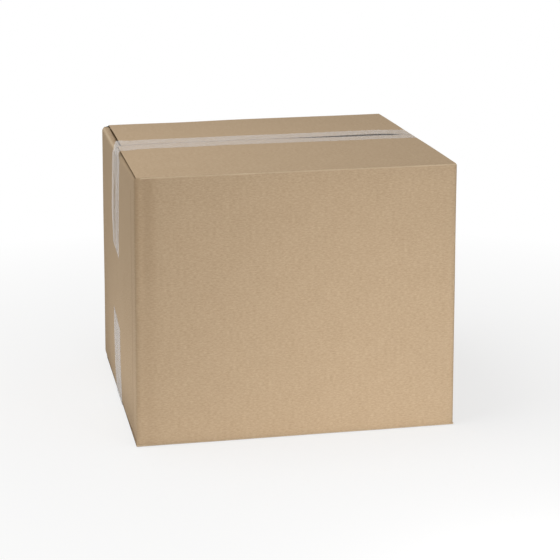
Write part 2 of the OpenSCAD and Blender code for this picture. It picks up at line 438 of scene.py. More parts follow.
def ring_lines(d):
    """The upright lines of the ring of panels, from the tab's free edge round to the end panel's
    cut edge: x, y, out x, out y, place across the blank, thickness, lower end, upper end."""
    lines, spans, across = [], {}, 0.0
    quarter = math.pi / 2 * (d.fold_radius + d.board / 2)
    ear = 1.1  # how far the corners reach past the panels, towards the flaps

    def panel(name, start, end, out, low, high, thick, slant=0.0):
        nonlocal across
        (x0, y0), (x1, y1) = start, end
        span = math.hypot(x1 - x0, y1 - y0)
        first = len(lines)
        for f in stations(0, span, *GRID) / span:
            drop = slant * (1 - f)
            lines.append((x0 + (x1 - x0) * f, y0 + (y1 - y0) * f, *out, across + f * span,
                          thick, low + drop, high - drop))
        spans[name] = slice(first, len(lines))
        across += span

    def corner(x, y, start, thin=False, lowered=False):
        nonlocal across
        for k in range(1, CORNER_STEPS):
            a = start + math.pi / 2 * k / CORNER_STEPS
            out = (math.cos(a), math.sin(a))
            thick = d.board
            if thin:
                thick = d.tab_board + (d.board - d.tab_board) * k / CORNER_STEPS
            rise = ear * math.sin(math.pi * k / CORNER_STEPS)
            tip = d.ears[0] + rise
            if lowered:
                tip = min(tip, d.shoulder + d.crown + d.r * abs(out[1]))
            lines.append((x + d.r * out[0], y + d.r * out[1], *out, across + quarter * k / CORNER_STEPS,
                          thick, d.ears[1] - rise, tip))
        across += quarter

    outer, inner = d.left - d.tab_board, d.front + d.board + d.joint_room
    low, high = d.ears[1], d.ears[0]
    flat = d.tab_width - d.r
    near, far, end = d.front + d.r, d.back - d.r, d.right - d.r
    panel("tab", (outer, near + flat), (outer, near), (-1, 0), d.foot, d.shoulder,
          d.tab_board - 0.05, flat * math.tan(d.tab_slope))
    corner(outer + d.r, near, math.pi, thin=True)
    panel("front", (outer + d.r, d.front), (end, d.front), (0, -1), low, high, d.board)
    corner(end, near, 1.5 * math.pi)
    panel("right", (d.right, near), (d.right, far), (1, 0), d.foot, d.shoulder, d.board)
    corner(end, far, 0)
    panel("back", (end, d.back), (d.left + d.r, d.back), (0, 1), low, high, d.board)
    # at the back left the slot lies past the corner, which comes down to the end flap's fold
    corner(d.left + d.r, far, math.pi / 2, lowered=True)
    panel("left", (d.left, far), (d.left, inner), (-1, 0), d.foot, d.shoulder, d.board)
    lines = np.array(lines)
    for name in ("right", "left"):
        ends = spans[name]
        lines[ends, 6] = d.foot - crown(lines[ends, 1], False, d)
        lines[ends, 7] = d.shoulder + crown(lines[ends, 1], True, d)
    return lines, spans


def add_ring(sheet, lines, d):
    """The four panels, their corner folds and the glue tab."""
    upper, lower = d.ears
    rows = stations(lower, upper, *GRID)[:, None]
    x, y, nx, ny, across, thick, low, high = (column[None] for column in lines.T)
    z = rows + (high - upper) * ramp(rows - upper, -34, 0) + (low - lower) * ramp(rows - lower, 34, 0)
    # the long panels are crushed thinner towards the folds of their flaps
    bent = np.abs(ny) ** 4 * np.maximum(ramp(z - d.top, -10, -3), ramp(z - d.floor, 10, 3))
    thick = thick + (np.minimum(thick, BENT) - thick) * bent
    sheet.add(points(x, y, z), points(nx, ny, np.zeros_like(z)), thick, points(across, z))


def add_long_flap(sheet, lines, side, upper, d):
    """A fold and flap of a long panel, with the ears that reach past the panel's corner folds."""
    sign = 1 if upper else -1
    # a slot that is cut past the corner's fold narrows the flap behind its own fold
    slot = d.slot_front if side < 0 else d.slot_back
    ear = min(slot, d.r)
    if upper:
        ends = (d.left + ear, d.right - (d.slot_right if side < 0 else d.slot_far))
    else:
        ends = (d.left + d.slot_under, d.right - d.slot_under)
    if side > 0:
        ends = ends[::-1]

    def between(start, end):
        return np.linspace(start, end, 4) if abs(end - start) > 0.05 else np.zeros(1)

    xs, across = lines[:, 0], lines[:, 4]
    begin, finish = between(ends[0], xs[0])[:-1], between(xs[-1], ends[1])[1:]
    before, after = across[0] - np.abs(begin - xs[0]), across[-1] + np.abs(finish - xs[-1])
    across = np.concatenate([before, across, after])
    xs = np.concatenate([begin, xs, finish])
    none = np.zeros(len(xs))
    lift, r = d.lift if upper else 0.0, d.crest_radius
    centre = d.top - r if upper else d.floor + r
    start = d.ears[0] if upper else d.ears[1]
    fold = [(-d.front, start, 1, 0, start)]  # |y|, z, out y, out z, place along the blank
    last = math.pi / 2 - lift
    for k in range(FOLD_STEPS + 1):
        a = last * k / FOLD_STEPS
        fold.append((-d.front - r + r * math.cos(a), centre + sign * r * math.sin(a),
                     math.cos(a), sign * math.sin(a), centre + sign * r * a))
    y0, z0, ny, nz, t0 = fold[-1]
    skew = flap_skew(xs, side, d) if upper else none
    narrowed = (slot - ear) * ramp(xs, -110, -144) * upper
    middle = seam_edge(xs, side, d) if upper else d.seam_under / 2
    reach = (y0 - middle) / math.cos(lift)
    # the slotting knife crushed the board beside the slots, but not at the left end of the back
    # top flap, which stands proud of the end panel's fold
    from_end = np.minimum(np.abs(xs - xs[0]), np.abs(xs - xs[-1]))
    end_crushed = np.where((side > 0) & upper & (xs < 0), d.board - 0.2, d.crushed)
    end_thick = end_crushed + (d.board - end_crushed) * ramp(from_end, 5, 13)
    place, out, flat, thick = [], [], [], []

    def add_row(x, y, z, oy, oz, t, board):
        place.append(points(x, side * y, z))
        out.append(points(none, side * oy, oz))
        flat.append(points(across, t))
        thick.append(np.minimum(end_thick, board))

    for k, row in enumerate(fold):
        add_row(xs + narrowed * ramp(k, 1, 4), *row, BENT)
    for f in stations(0, 1, *(step / FLAP for step in GRID))[1:]:
        run = reach * f
        board = BENT + (d.board - BENT) * ramp(run, 1, 8)
        add_row(xs + narrowed + skew * f, y0 - run * math.cos(lift), z0 + sign * run * math.sin(lift),
                ny, nz, t0 + sign * run, board)
    sheet.add(np.array(place), np.array(out), np.array(thick), np.array(flat), turned=not upper)


def add_end_flap(sheet, lines, side, upper, d):
    """A fold and flap of an end panel. It lies under the long flaps, so it is narrower."""
    sign = 1 if upper else -1
    ys, across = lines[:, 1], lines[:, 4]
    none = np.zeros(len(ys))
    half = d.back - d.board - d.side_room
    narrow = np.interp(ys, sorted([ys[0], ys[-1]]), [-half, half])
    bulge = crown(ys, upper, d)
    level = d.shoulder if upper else d.foot
    centre = level + sign * bulge
    x0 = (d.right - d.r) if side > 0 else (d.left + d.r)
    place, out, flat = [], [], []
    for k in range(FOLD_STEPS + 1):
        a = math.pi / 2 * k / FOLD_STEPS
        narrower = ys + (narrow - ys) * smooth(k / FOLD_STEPS)
        place.append(points(x0 + side * d.r * math.cos(a), narrower, centre + sign * d.r * math.sin(a)))
        out.append(points(side * math.cos(a), none, sign * math.sin(a)))
        flat.append(points(across, centre + sign * (d.fold_radius + d.board / 2) * a))
    t0 = flat[-1][:, 1]
    for f in stations(0, 1, *(step / FLAP for step in HIDDEN_GRID))[1:]:
        run = f * d.flap
        height = level + sign * (d.r + bulge * (1 - ramp(run, 1, 12)))
        place.append(points(x0 - side * run, narrow, height))
        out.append(points(none, 0, sign))
        flat.append(points(across, t0 + sign * run))
    sheet.add(np.array(place), np.array(out), d.board, np.array(flat), roofed=0.0, turned=not upper)


def thicken(sheet, d):
    """The folded board as one closed shell: both liners, and at every cut edge the two liner
    edges with the hollow between them, where the flutes lie."""
    place, out = np.array(sheet.place, float), np.array(sheet.out, float)
    thick = np.array(sheet.thick, float)[:, None]
    before = place
    place = place + out * settled(place, out, d, np.array(sheet.roofed))[:, None]
    inner = place - out * thick
    into, edges_at, rim = np.zeros_like(place), np.zeros_like(place), []
    owners = {(a, b) for f in sheet.faces for a, b in zip(f, f[1:] + f[:1])}
    for a, b in owners:
        if (b, a) in owners:
            continue
        rim.append((a, b))
        way = (place[b] - place[a]) / np.linalg.norm(place[b] - place[a])
        up = out[a] + out[b]
        side = np.cross(up / np.linalg.norm(up), way)
        for v, sense in ((a, 1), (b, -1)):
            into[v] += side
            edges_at[v] += way * sense
    rim.sort()
    size = np.linalg.norm(into, axis=1)
    slit = (size < 0.5) & (np.linalg.norm(edges_at, axis=1) > 0.5)
    into[slit] = -edges_at[slit]
    size = np.linalg.norm(into, axis=1)
    on_rim = sorted({v for edge in rim for v in edge})
    # a square corner of the sheet moves both ways; a straight edge moves once
    size = np.maximum(size, 1e-9)[:, None]
    push = into / size * np.clip(2 / size, 1, 1.4)
    x, y, z = before.T
    tab = (x < d.left - 0.5) & (y < d.front + d.tab_width + 1)
    # the cut is open between the liners, except on the tab and at the corners, which are crushed
    corner = (np.abs(y) > d.back - d.r + 0.1) & (np.abs(x) > d.right - d.r - 3)
    shallow, hollow = 0.12, 2.6
    deep = push * np.where(tab | corner, shallow, hollow)[:, None]
    upper, lower = place - out * d.liner, inner + out * d.liner
    layers = [upper, upper + deep, lower + deep, lower]
    n = len(place)
    verts = [place, inner] + [layer[on_rim] for layer in layers]
    at = {v: i for i, v in enumerate(on_rim)}
    first = [2 * n + k * len(on_rim) for k in range(len(layers))]
    faces = [list(f) for f in sheet.faces] + [[v + n for v in f[::-1]] for f in sheet.faces]
    kinds = [0] * len(faces)
    for a, b in rim:
        cut = 0 if corner[a] and corner[b] else 1
        ladder = [(a, b), *((k + at[a], k + at[b]) for k in first), (a + n, b + n)]
        for (a0, b0), (a1, b1) in zip(ladder, ladder[1:]):
            faces.append([b0, a0, a1, b1])
            kinds.append(cut)
    # the liner is painted pale on the folds, partly as stretched paper and partly as a painted
    # highlight: fully on the level folds, less before the tape on the left, a little on the upright
    # folds, and not on the tab's
    nx, ny, nz = out.T
    on_left = x < d.left + d.r
    less = np.where(on_left & (y < -25) & (z > d.crown), 0.3, 1.0)
    level = 4 * nz ** 2 * (nx ** 2 + ny ** 2) * less
    at_tab = on_left & (y < d.front + d.r + 0.1)
    fold = level + 4 * nx ** 2 * ny ** 2 * np.where(at_tab, 0.0, 0.35)
    flat = np.array(sheet.flat, float)
    source = np.concatenate([np.arange(n), np.arange(n)] + [np.array(on_rim)] * len(layers))
    # painted shade along the end of the glue tab, darkest towards its free edge
    painted_shade = tab * 0.8 * ramp(y - (d.front + d.tab_width - 9), 0, 8)
    # painted shade on the front panel beside its left fold, most near the top, where the soft dent and
    # the lean are
    beside = np.interp(x - d.left, [-1.5, 1.5, 4.5, 9, 12, 21], [1, 1, 0.42, 0.72, 0.72, 0])
    height = np.interp(z - d.floor, [60, 130, 180, 215], [0.45, 0.5, 0.8, 1])
    painted_shade = np.maximum(painted_shade, beside * height * (ny < -0.25) * (1 - level))
    marks = {"fold": np.clip(fold, 0, 1)[source], "painted_shade": painted_shade[source]}
    return crushed(np.concatenate(verts), d), faces, kinds, flat[source], marks


def new_piece(name, verts, faces, materials, flat, marks, sharp, kinds=None):
    """A mesh object at the origin, from places in millimetres, kept inside the CAD box. Its UV map
    is its place on the flat sheet, and its folds are sharp from an angle in degrees."""
    low, high = np.array(CAD_LOW) / MM, np.array(CAD_HIGH) / MM
    verts, faces = (np.clip(verts, low, high) * MM).tolist(), [[int(v) for v in f] for f in faces]
    mesh = bpy.data.meshes.new(name)
    mesh.from_pydata(verts, [], faces)
    for material in materials:
        mesh.materials.append(material)
    if kinds:
        mesh.polygons.foreach_set("material_index", kinds)
    layer = mesh.uv_layers.new(name="blank")
    corners = np.zeros(len(mesh.loops), int)
    mesh.loops.foreach_get("vertex_index", corners)
    layer.data.foreach_set("uv", (flat[corners] * MM).ravel().astype(np.float32))
    for key, values in marks.items():
        layer = mesh.attributes.new(key, "FLOAT", "POINT")
        layer.data.foreach_set("value", values.astype(np.float32))
    mesh.shade_smooth()
    mesh.set_sharp_from_angle(angle=math.radians(sharp))
    mesh.update()
    made = bpy.data.objects.new(name, mesh)
    bpy.context.scene.collection.objects.link(made)
    return made


# ---------------------------------------------------------------- tape

# The grid of the tape along the flaps, as for the board, with the length of the flaps, and its
# numbers of rows, and of columns on an end panel, round its fold and over the step.
TAPE_GRID = (0.8, 3.6, 14)
TAPE_LENGTH = 296
ROWS, WALL_TOP, WALL_FOOT, TURN_STEPS, SPAN_STEPS = 52, 34, 26, 4, 8


def roof_height(x, y, d):
    """Height of the two long top flaps' outer faces, and of the tape where it spans the seam."""

    def face(side, y):
        z = d.crest - np.abs(y) * math.tan(d.lift)
        place = points(x, y, z)
        out = np.broadcast_to([0, side * math.sin(d.lift), math.cos(d.lift)], place.shape)
        return z + settled(place, out, d) * math.cos(d.lift)

    near, far = -seam_edge(x, -1, d), seam_edge(x, 1, d)
    share = np.clip((y - near) / (far - near), 0, 1)
    return face(-1, np.minimum(y, near)) * (1 - share) + face(1, np.maximum(y, far)) * share


def floor_height(x, y, d):
    """The same for the underside, measured downwards."""
    place = points(x, y, d.floor)
    out = np.broadcast_to([0.0, 0.0, -1.0], place.shape)
    return -(d.floor - settled(place, out, d))


def tape_places(t, d, upper):
    """Places of a strip of tape on the board, rows across it by columns along it, and where each
    column lies: 0 on an end panel, 1 over the step at the end of the flaps, 2 on the flaps."""
    sign = 1 if upper else -1
    level = d.shoulder if upper else -d.foot
    end = level - (t.down - (d.crest - d.shoulder) if upper else t.up - d.foot)
    ys = t.offset + np.linspace(-t.width / 2, t.width / 2, ROWS)
    height = roof_height if upper else floor_height
    course = t.course if upper else 0.0
    over, teeth = 0.3, 0.32  # how far the film stands over the flaps' tips, and the cutter's teeth
    spacing = stations(0, 1, *(step / TAPE_LENGTH for step in TAPE_GRID))
    rows = []
    for y in ys:
        if upper:
            share = 1 - abs(y) / d.back
            back = d.slot_back - d.flap_grows * share
            step = d.slot_front + (back - d.slot_front) * float(ramp(y, -0.5, 6.5))
            slot = d.slot_right if y < 0 else d.slot_far
            tips = (d.left + step, d.right - slot - (d.seam_right - slot) * share)
        else:
            tips = (d.left + d.slot_under, d.right - d.slot_under)
        shoulder = level + float(crown(y, upper, d))
        tips = (tips[0] - over, tips[1] + over)
        tooth = teeth * (2 * abs((y / t.tooth) % 1 - 0.5) - 0.5)
        legs = []
        for side, tip in zip((-1, 1), tips):
            wall = d.left if side < 0 else d.right
            cx = wall - side * d.r
            ze = float(height(np.array([tip]), np.array([y + course * (side + 1) / 2]), d)[0])
            # tangent from the flap's tip to the end panel's fold, seen with the wall on the left
            ex, ez = (cx - tip) * side, ze - shoulder
            away = max(math.hypot(ex, ez), d.r + 0.01)
            turn = math.atan2(ez, ex) + math.acos(min(1, d.r / away))
            # the cut ends are off square, the left ones as in the photo
            askew = (3.0 if upper else -5.5) if side < 0 else -0.5
            cut = end + tooth + askew * (y - t.offset) / 25
            up_wall = np.linspace(cut, shoulder, WALL_TOP if upper else WALL_FOOT)
            leg = [(wall, z, side, 0, 0) for z in up_wall]
            for k in range(1, TURN_STEPS + 1):
                a = math.pi + (turn - math.pi) * k / TURN_STEPS
                nx, nz = -side * math.cos(a), math.sin(a)
                leg.append((cx + d.r * nx, shoulder + d.r * nz, nx, nz, 0))
            tx, tz = leg[-1][:2]
            for k in range(1, SPAN_STEPS):
                f = k / SPAN_STEPS
                leg.append((tx + (tip - tx) * f, tz + (ze - tz) * f,
                            -side * math.cos(turn), math.sin(turn), 1))
            legs.append(leg)
        across = tips[0] + (tips[1] - tips[0]) * spacing
        tops = height(across, y + course * spacing, d)
        middle = [(x, z, 0, 1, 2) for x, z in zip(across, tops)]
        row = legs[0] + middle + legs[1][::-1]
        last = np.full(len(legs[1]), course)
        shift = np.concatenate([np.zeros(len(legs[0])), course * spacing, last])
        rows.append([(x, y + to, z, nx, nz) for (x, z, nx, nz, _), to in zip(row, shift)])
    zones = np.array([column[-1] for column in row])
    grid = np.array(rows)
    place = grid[..., :3].copy()
    # on the end panels the tape follows the board, and the spans over the steps follow both ends
    out = np.zeros(place.shape)
    out[..., 0], out[..., 2] = grid[..., 3], grid[..., 4] * sign
    real = place * [1, 1, sign]
    on_wall = (zones < 2)[None] * np.abs(out[..., 0]) ** 2
    place[..., 0] += out[..., 0] * settled(real, out, d) * on_wall
    place[..., 2] *= sign
    return place, zones, ys


def stuck_to_board(place, zones, d, upper):
    """How milky the film is, as real haze and as painted reflection of the white surroundings: 1 where
    it lies glued on the board, less where it spans the open seam, more over the steps and where air lies
    under it."""
    x, y = place[..., 0], place[..., 1]
    if upper:
        near, far = -seam_edge(x, -1, d), seam_edge(x, 1, d)
    else:
        near, far = -d.seam_under / 2, d.seam_under / 2
    edge, soft, free = 0.7, 1.2, 2.2
    over = smooth((y - near + edge) / soft) * smooth((far + edge - y) / soft)
    shown = opened(x) if upper else 0.5
    stuck = np.where(zones[None] == 2, 1 - over * (0.25 + 0.75 * shown), 1.0)
    stuck = np.where(zones[None] == 1, free, stuck)
    # on the left end panel streaks of air lie along the upper strip, and the lower one is milky, partly
    # as painted reflection of the bright floor
    wall = (zones[None] == 0) & (x < 0)
    if upper:
        z = place[..., 2]
        lower = ramp(z, 146, 162) * ramp(z, 230, 212)
        streaks = 1.4 + 0.5 * hump(y, 21, 6) + 0.5 * hump(y, -5, 6) + 0.5 * hump(y, -19.5, 5)
        clear = 1.35 * hump(y + 0.03 * (z - 190), 8, 10) + 0.9 * hump(y, -12.5, 5)
        streaks = streaks - lower * clear
    else:
        streaks = 2.1 + 0.3 * np.sin(y / 4)
    return np.where(wall, streaks, stuck)


def soften(place, zones, rounds):
    """Rounds the turns of the tape where it leaves the flaps."""
    near = np.zeros(len(zones), bool)
    for i in np.flatnonzero(np.diff(zones) != 0):
        near[max(1, i - 2) : i + 4] = True
    for _ in range(rounds):
        mean = (place[:, :-2] + place[:, 2:]) / 2
        move = near[1:-1]
        place[:, 1:-1][:, move] = (place[:, 1:-1][:, move] + mean[:, move]) / 2
    return place


def grid_normals(place, flip):
    """Outward directions of a grid of places."""
    along = np.gradient(place, axis=1)
    across = np.gradient(place, axis=0)
    normal = np.cross(along, across)
    normal /= np.maximum(np.linalg.norm(normal, axis=-1), 1e-12)[..., None]
    return -normal if flip else normal


def film_mesh(place, normal, film, flip):
    """A closed film on a grid of places: the inner face, the outer face and the cut edge."""
    rows, columns = place.shape[:2]
    n = rows * columns
    verts = np.concatenate([(place + normal * film).reshape(-1, 3), place.reshape(-1, 3)])
    names = np.arange(n).reshape(rows, columns)
    faces = []
    for r in range(rows - 1):
        for c in range(columns - 1):
            face = [names[r, c], names[r, c + 1], names[r + 1, c + 1], names[r + 1, c]]
            face = face[::-1] if flip else face
            faces += [face, [v + n for v in face[::-1]]]
    loop = [*names[0, :-1], *names[:-1, -1], *names[-1, :0:-1], *names[:0:-1, 0]]
    for a, b in zip(loop, loop[1:] + loop[:1]):
        faces.append([a, b, b + n, a + n] if flip else [b, a, a + n, b + n])
    return verts, faces


def tape_waves(t, zones, ys, place, upper):
    """Height of the waves and wrinkles of a strip of tape over the board."""
    y = np.broadcast_to(ys[:, None], place.shape[:2])
    x, z = place[..., 0], place[..., 2]
    run = np.where(zones[None] == 2, x, z)
    lift = 0.03 + 0.03 * (1 + uneven(run, y * 1.3, 26, t.seed))
    columns, (first, last) = np.arange(len(zones))[None], np.flatnonzero(zones == 2)[[0, -1]]
    at_step = np.exp(-((columns - first + 3) / 5.0) ** 2)
    at_far = np.exp(-((columns - last - 3) / 5.0) ** 2)
    lift = lift + 0.1 * (at_step + at_far)
    left = (zones[None] < 2) & (x < 0)
    if upper:
        lift = lift + 0.8 * at_step
        lift = lift + left * 1.5 * ramp(y, -12, 24) * ramp(z, 152, 197)
        ridge = hump(y + 1.5 * np.sin(z / 9), 6.5, 5.0) * hump(z, 198, 46)
        ridge = ridge + 0.8 * hump(y + np.sin(z / 13), -4.5, 5.5) * hump(z, 190, 40)
        ridge = ridge + 0.6 * hump(y, 1.0, 3.0) * ramp(z, 205, 230)
        ridge = ridge + 0.35 * hump(y, 17, 5) * hump(z, 225, 30)
        lift = lift + left * t.lifted * ridge
        # folds that fan out where the tape drops from the two unequal flaps to the end panel
        fan = np.abs(np.sin((y - 2) * 0.42 + 0.6)) * at_step * hump(y, 3, 26)
        lift = lift + 0.4 * fan
    else:
        lift = lift * 0.35
        lift = lift + left * 0.3 * ramp(y, 0, 30) * ramp(z, 8, 28)
        lift = lift + left * 0.35 * hump(y, 9, 6) * hump(z, 40, 34) + 0.1 * (at_step + at_far)
    return lift


def make_tape(name, node, t, d, material, upper):
    """A strip of tape, as one closed film that stands for its CAD node."""
    place, zones, ys = tape_places(t, d, upper)
    place = soften(place, zones, 3)
    flip = not upper
    normal = grid_normals(place, flip)
    lift = tape_waves(t, zones, ys, place, upper)
    glue, pressed_flat = 0.02, 0.012
    if not upper:
        under = (zones[None] == 2) & (place[..., 2] < 1)
        lift = np.where(under, pressed_flat, lift)
    spanned = place + normal * (glue + lift)[..., None]
    if upper:
        # the left free span is drawn in by the pull of the roll, and its edges stray
        from_step = np.arange(len(zones)) - np.flatnonzero(zones == 2)[0]
        pinch = 0.05 * np.exp(-((from_step + 6) / 4.0) ** 2)[None]
        spanned[..., 1] = t.offset + (spanned[..., 1] - t.offset) * (1 - pinch)
        at_turn = spanned[..., 2] > d.shoulder + 6
        flare = t.flare * np.exp(-(((spanned[..., 0] + 144) / 7.0) ** 2)) * at_turn
        aside = spanned[..., 1] - t.offset
        spanned[..., 1] -= flare * (ramp(aside, 0, -25) - 1.6 * ramp(aside, 0, 25))
    normal = grid_normals(spanned, flip)
    verts, faces = film_mesh(spanned, normal, t.film, flip)
    steps = np.linalg.norm(np.diff(spanned[ROWS // 2 - 1], axis=0), axis=1)
    run = np.concatenate([[0], np.cumsum(steps)])
    flat = points(run[None], ys[:, None]).reshape(-1, 2)
    stuck = stuck_to_board(place, zones, d, upper).ravel()
    marks = {"stuck": np.concatenate([stuck, stuck])}
    flat = np.concatenate([flat, flat])
    made = new_piece(name, crushed(verts, d), faces, [material], flat, marks, 60)
    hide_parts(node)
    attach(made, "root")


# ---------------------------------------------------------------- finishes

WHITE = (1, 1, 1, 1)
UNDER = -0.0002  # height of the studio floor, in metres, a little under the box


def add_node(tree, kind, inputs=None, **settings):
    """Adds a node with its settings. Each input gets a value or the output of another node."""
    node = tree.nodes.new(kind)
    for name, value in settings.items():
        setattr(node, name, value)
    for name, given in (inputs or {}).items():
        if isinstance(given, bpy.types.NodeSocket):
            tree.links.new(given, node.inputs[name])
        else:
            node.inputs[name].default_value = given
    return node


def maths(tree, operation, *inputs, clamp=False):
    """The result of a sum over numbers and outputs."""
    inputs = dict(enumerate(inputs))
    return add_node(tree, "ShaderNodeMath", inputs, operation=operation, use_clamp=clamp).outputs[0]


def remap(tree, value, given, wanted):
    """A value, taken from one range to another."""
    names = ("Value", "From Min", "From Max", "To Min", "To Max")
    inputs = dict(zip(names, (value, *given, *wanted)))
    return add_node(tree, "ShaderNodeMapRange", inputs).outputs[0]


def noise(tree, place, scale, detail, roughness=0.5, distortion=0.0, stretch=None, dimensions="2D"):
    """A noise. Its grains are 1 m over the scale in size, or 1 m over each part of the stretch."""
    if stretch:
        inputs = {"Vector": place, "Scale": (*stretch, 1)}
        place = add_node(tree, "ShaderNodeMapping", inputs).outputs[0]
    inputs = {
        "Vector": place, "Scale": scale, "Detail": detail,
        "Roughness": roughness, "Distortion": distortion,
    }
    return add_node(tree, "ShaderNodeTexNoise", inputs, noise_dimensions=dimensions).outputs["Fac"]


def blend(tree, share, under, over):
    """A colour between two others."""
    return add_node(tree, "ShaderNodeMix", {0: share, 6: under, 7: over}, data_type="RGBA").outputs[2]


def mark(tree, name):
    """A mark that the points of the board or the tape carry."""
    return add_node(tree, "ShaderNodeAttribute", attribute_name=name).outputs["Fac"]


def new_material(name):
    """An empty node material and its tree."""
    material = bpy.data.materials.new(name)
    material.use_nodes = True
    material.node_tree.nodes.clear()
    return material, material.node_tree


def surface(tree, inputs, relief, strength, depth):
    """The shader of a material, from its inputs and a relief with its depth in metres."""
    bump = add_node(tree, "ShaderNodeBump", {"Height": relief, "Strength": strength, "Distance": depth})
    inputs["Normal"] = bump.outputs[0]
    shader = add_node(tree, "ShaderNodeBsdfPrincipled", inputs)
    add_node(tree, "ShaderNodeOutputMaterial", {0: shader.outputs[0]})


def kraft_linerboard(c, sizes):
    """Kraft linerboard, made under the press and calendered: matt brown paper with long fibres that lie
    round the box, soft clouds where the pulp was thicker, and the flutes just showing through, in relief
    and as painted shade. Its folds are pale, partly as a painted highlight, and painted shade lies
    beside the front left fold and along the glue tab's edge."""
    material, tree = new_material("Kraft linerboard")
    flat = add_node(tree, "ShaderNodeUVMap", uv_map="blank").outputs["UV"]
    # fibres: 3 mm long and 1.1 mm wide, coarser than the real ones, so that they show at this size
    fibres = noise(tree, flat, 1.0, 3.0, 0.62, 0.4, stretch=(330, 900))
    # clouds in the pulp: 22 mm across
    clouds = noise(tree, flat, 45.0, 4.0, 0.55)
    # specks of bark: up to 1.5 mm across, in one of seven cells that are 3.8 mm wide
    specks = add_node(
        tree, "ShaderNodeTexVoronoi", {"Vector": flat, "Scale": 260.0, "Randomness": 1.0},
        voronoi_dimensions="2D",
    ).outputs
    speck = remap(tree, specks["Distance"], (0.08, 0.2), (0.08, 0.0))
    drawn = add_node(tree, "ShaderNodeSeparateColor", {"Color": specks["Color"]}).outputs[0]
    speck = maths(tree, "MULTIPLY", speck, maths(tree, "GREATER_THAN", drawn, 0.86))
    # the flutes under the liner, one line every pitch, across the blank
    across = add_node(tree, "ShaderNodeSeparateXYZ", {"Vector": flat}).outputs[0]
    flutes = maths(tree, "SINE", maths(tree, "MULTIPLY", across, math.tau / sizes.flute_pitch))
    # painted shade of the flute ribs: the colour darkens a little along every flute
    flute_rib_shade = maths(tree, "MULTIPLY_ADD", flutes, 0.006, 0.006)
    shade = remap(tree, fibres, (0.25, 0.75), (0.0, 0.44))
    cloudy = remap(tree, clouds, (0.3, 0.7), (0.0, 0.05))
    dark = maths(tree, "ADD", maths(tree, "ADD", shade, cloudy), speck)
    dark = maths(tree, "ADD", dark, flute_rib_shade, clamp=True)
    paper = blend(tree, dark, c.kraft, c.fibre_and_shade)
    # the liner is pale on the folds, partly where a fold stretched it and partly as a painted highlight,
    # and darker under the marks of painted shade beside the front left fold and along the glue tab
    stretched_and_highlit = maths(tree, "POWER", mark(tree, "fold"), 2.0)
    paper = blend(tree, maths(tree, "MULTIPLY", stretched_and_highlit, clouds, clamp=True), paper, c.crease_and_highlight)
    paper = blend(tree, maths(tree, "MULTIPLY", mark(tree, "painted_shade"), 0.38), paper, c.fibre_and_shade)
    # relief: flutes 0.024 mm high and fibres 0.03 mm
    relief = maths(tree, "MULTIPLY_ADD", fibres, 0.00003, maths(tree, "MULTIPLY", flutes, 0.000012))
    rough = remap(tree, fibres, (0.2, 0.8), (0.8, 0.93))
    inputs = {"Base Color": paper, "Roughness": rough, "IOR": 1.45, "Specular IOR Level": 0.12}
    surface(tree, inputs, relief, 1.0, 1.0)
    return material


def raw_fluting(c):
    """Fluting paper and liner edges where the board was cut: rougher and more fibrous than the face of
    the paper, and coloured far darker than it, as painted shade of the hollow between the liners."""
    material, tree = new_material("Raw cut fluting")
    place = add_node(tree, "ShaderNodeTexCoord").outputs["Object"]
    # torn fibres, 1.1 mm
    fibres = noise(tree, place, 900.0, 2.0, dimensions="3D")
    darker = [v * 0.72 for v in c.cut_edge_and_shade[:3]] + [1.0]
    colour = blend(tree, fibres, c.cut_edge_and_shade, darker)
    inputs = {"Base Color": colour, "Roughness": 0.95, "IOR": 1.45, "Specular IOR Level": 0.1}
    surface(tree, inputs, fibres, 0.6, 0.0002)
    return material


def clear_packing_film(c):
    """Clear polypropylene packing tape: a glossy, slightly hazy film, milky where it isn't wetted by its
    adhesive, with faint drawing lines along its length. Its pale haze stands partly for painted
    reflection of the white surroundings."""
    material, tree = new_material("Clear packing film")
    flat = add_node(tree, "ShaderNodeUVMap", uv_map="blank").outputs["UV"]
    # drawing lines: 1.4 mm apart across the tape, 90 mm long
    lines = noise(tree, flat, 1.0, 2.0, stretch=(11, 700))
    # islands of air under the film: 17 mm long and 7 mm wide
    air = noise(tree, flat, 1.0, 3.0, 0.6, stretch=(60, 150))
    haze_and_reflection = remap(tree, maths(tree, "ADD", lines, air), (0.7, 1.3), (0.065, 0.115))
    milky = maths(tree, "MULTIPLY_ADD", haze_and_reflection, mark(tree, "stuck"), 0.006)
    # painted reflection: the pale haze thickens where the film is seen flat along its face, as a film
    # mirrors more there
    gloss = add_node(tree, "ShaderNodeFresnel", {"IOR": 1.5}).outputs[0]
    clear = maths(tree, "MULTIPLY_ADD", gloss, 0.14, milky)
    inputs = {"Base Color": c.film, "Alpha": clear, "Roughness": 0.2, "IOR": 1.5}
    surface(tree, inputs, lines, 0.3, 0.0001)
    return material


def seen_plainly(tree):
    """1 for what the camera sees by itself, by a mirror or through the film, 0 for the light that
    falls on the box."""
    rays = add_node(tree, "ShaderNodeLightPath").outputs
    plain = maths(tree, "MAXIMUM", rays["Is Camera Ray"], rays["Is Glossy Ray"])
    return maths(tree, "MAXIMUM", plain, rays["Is Transmission Ray"])


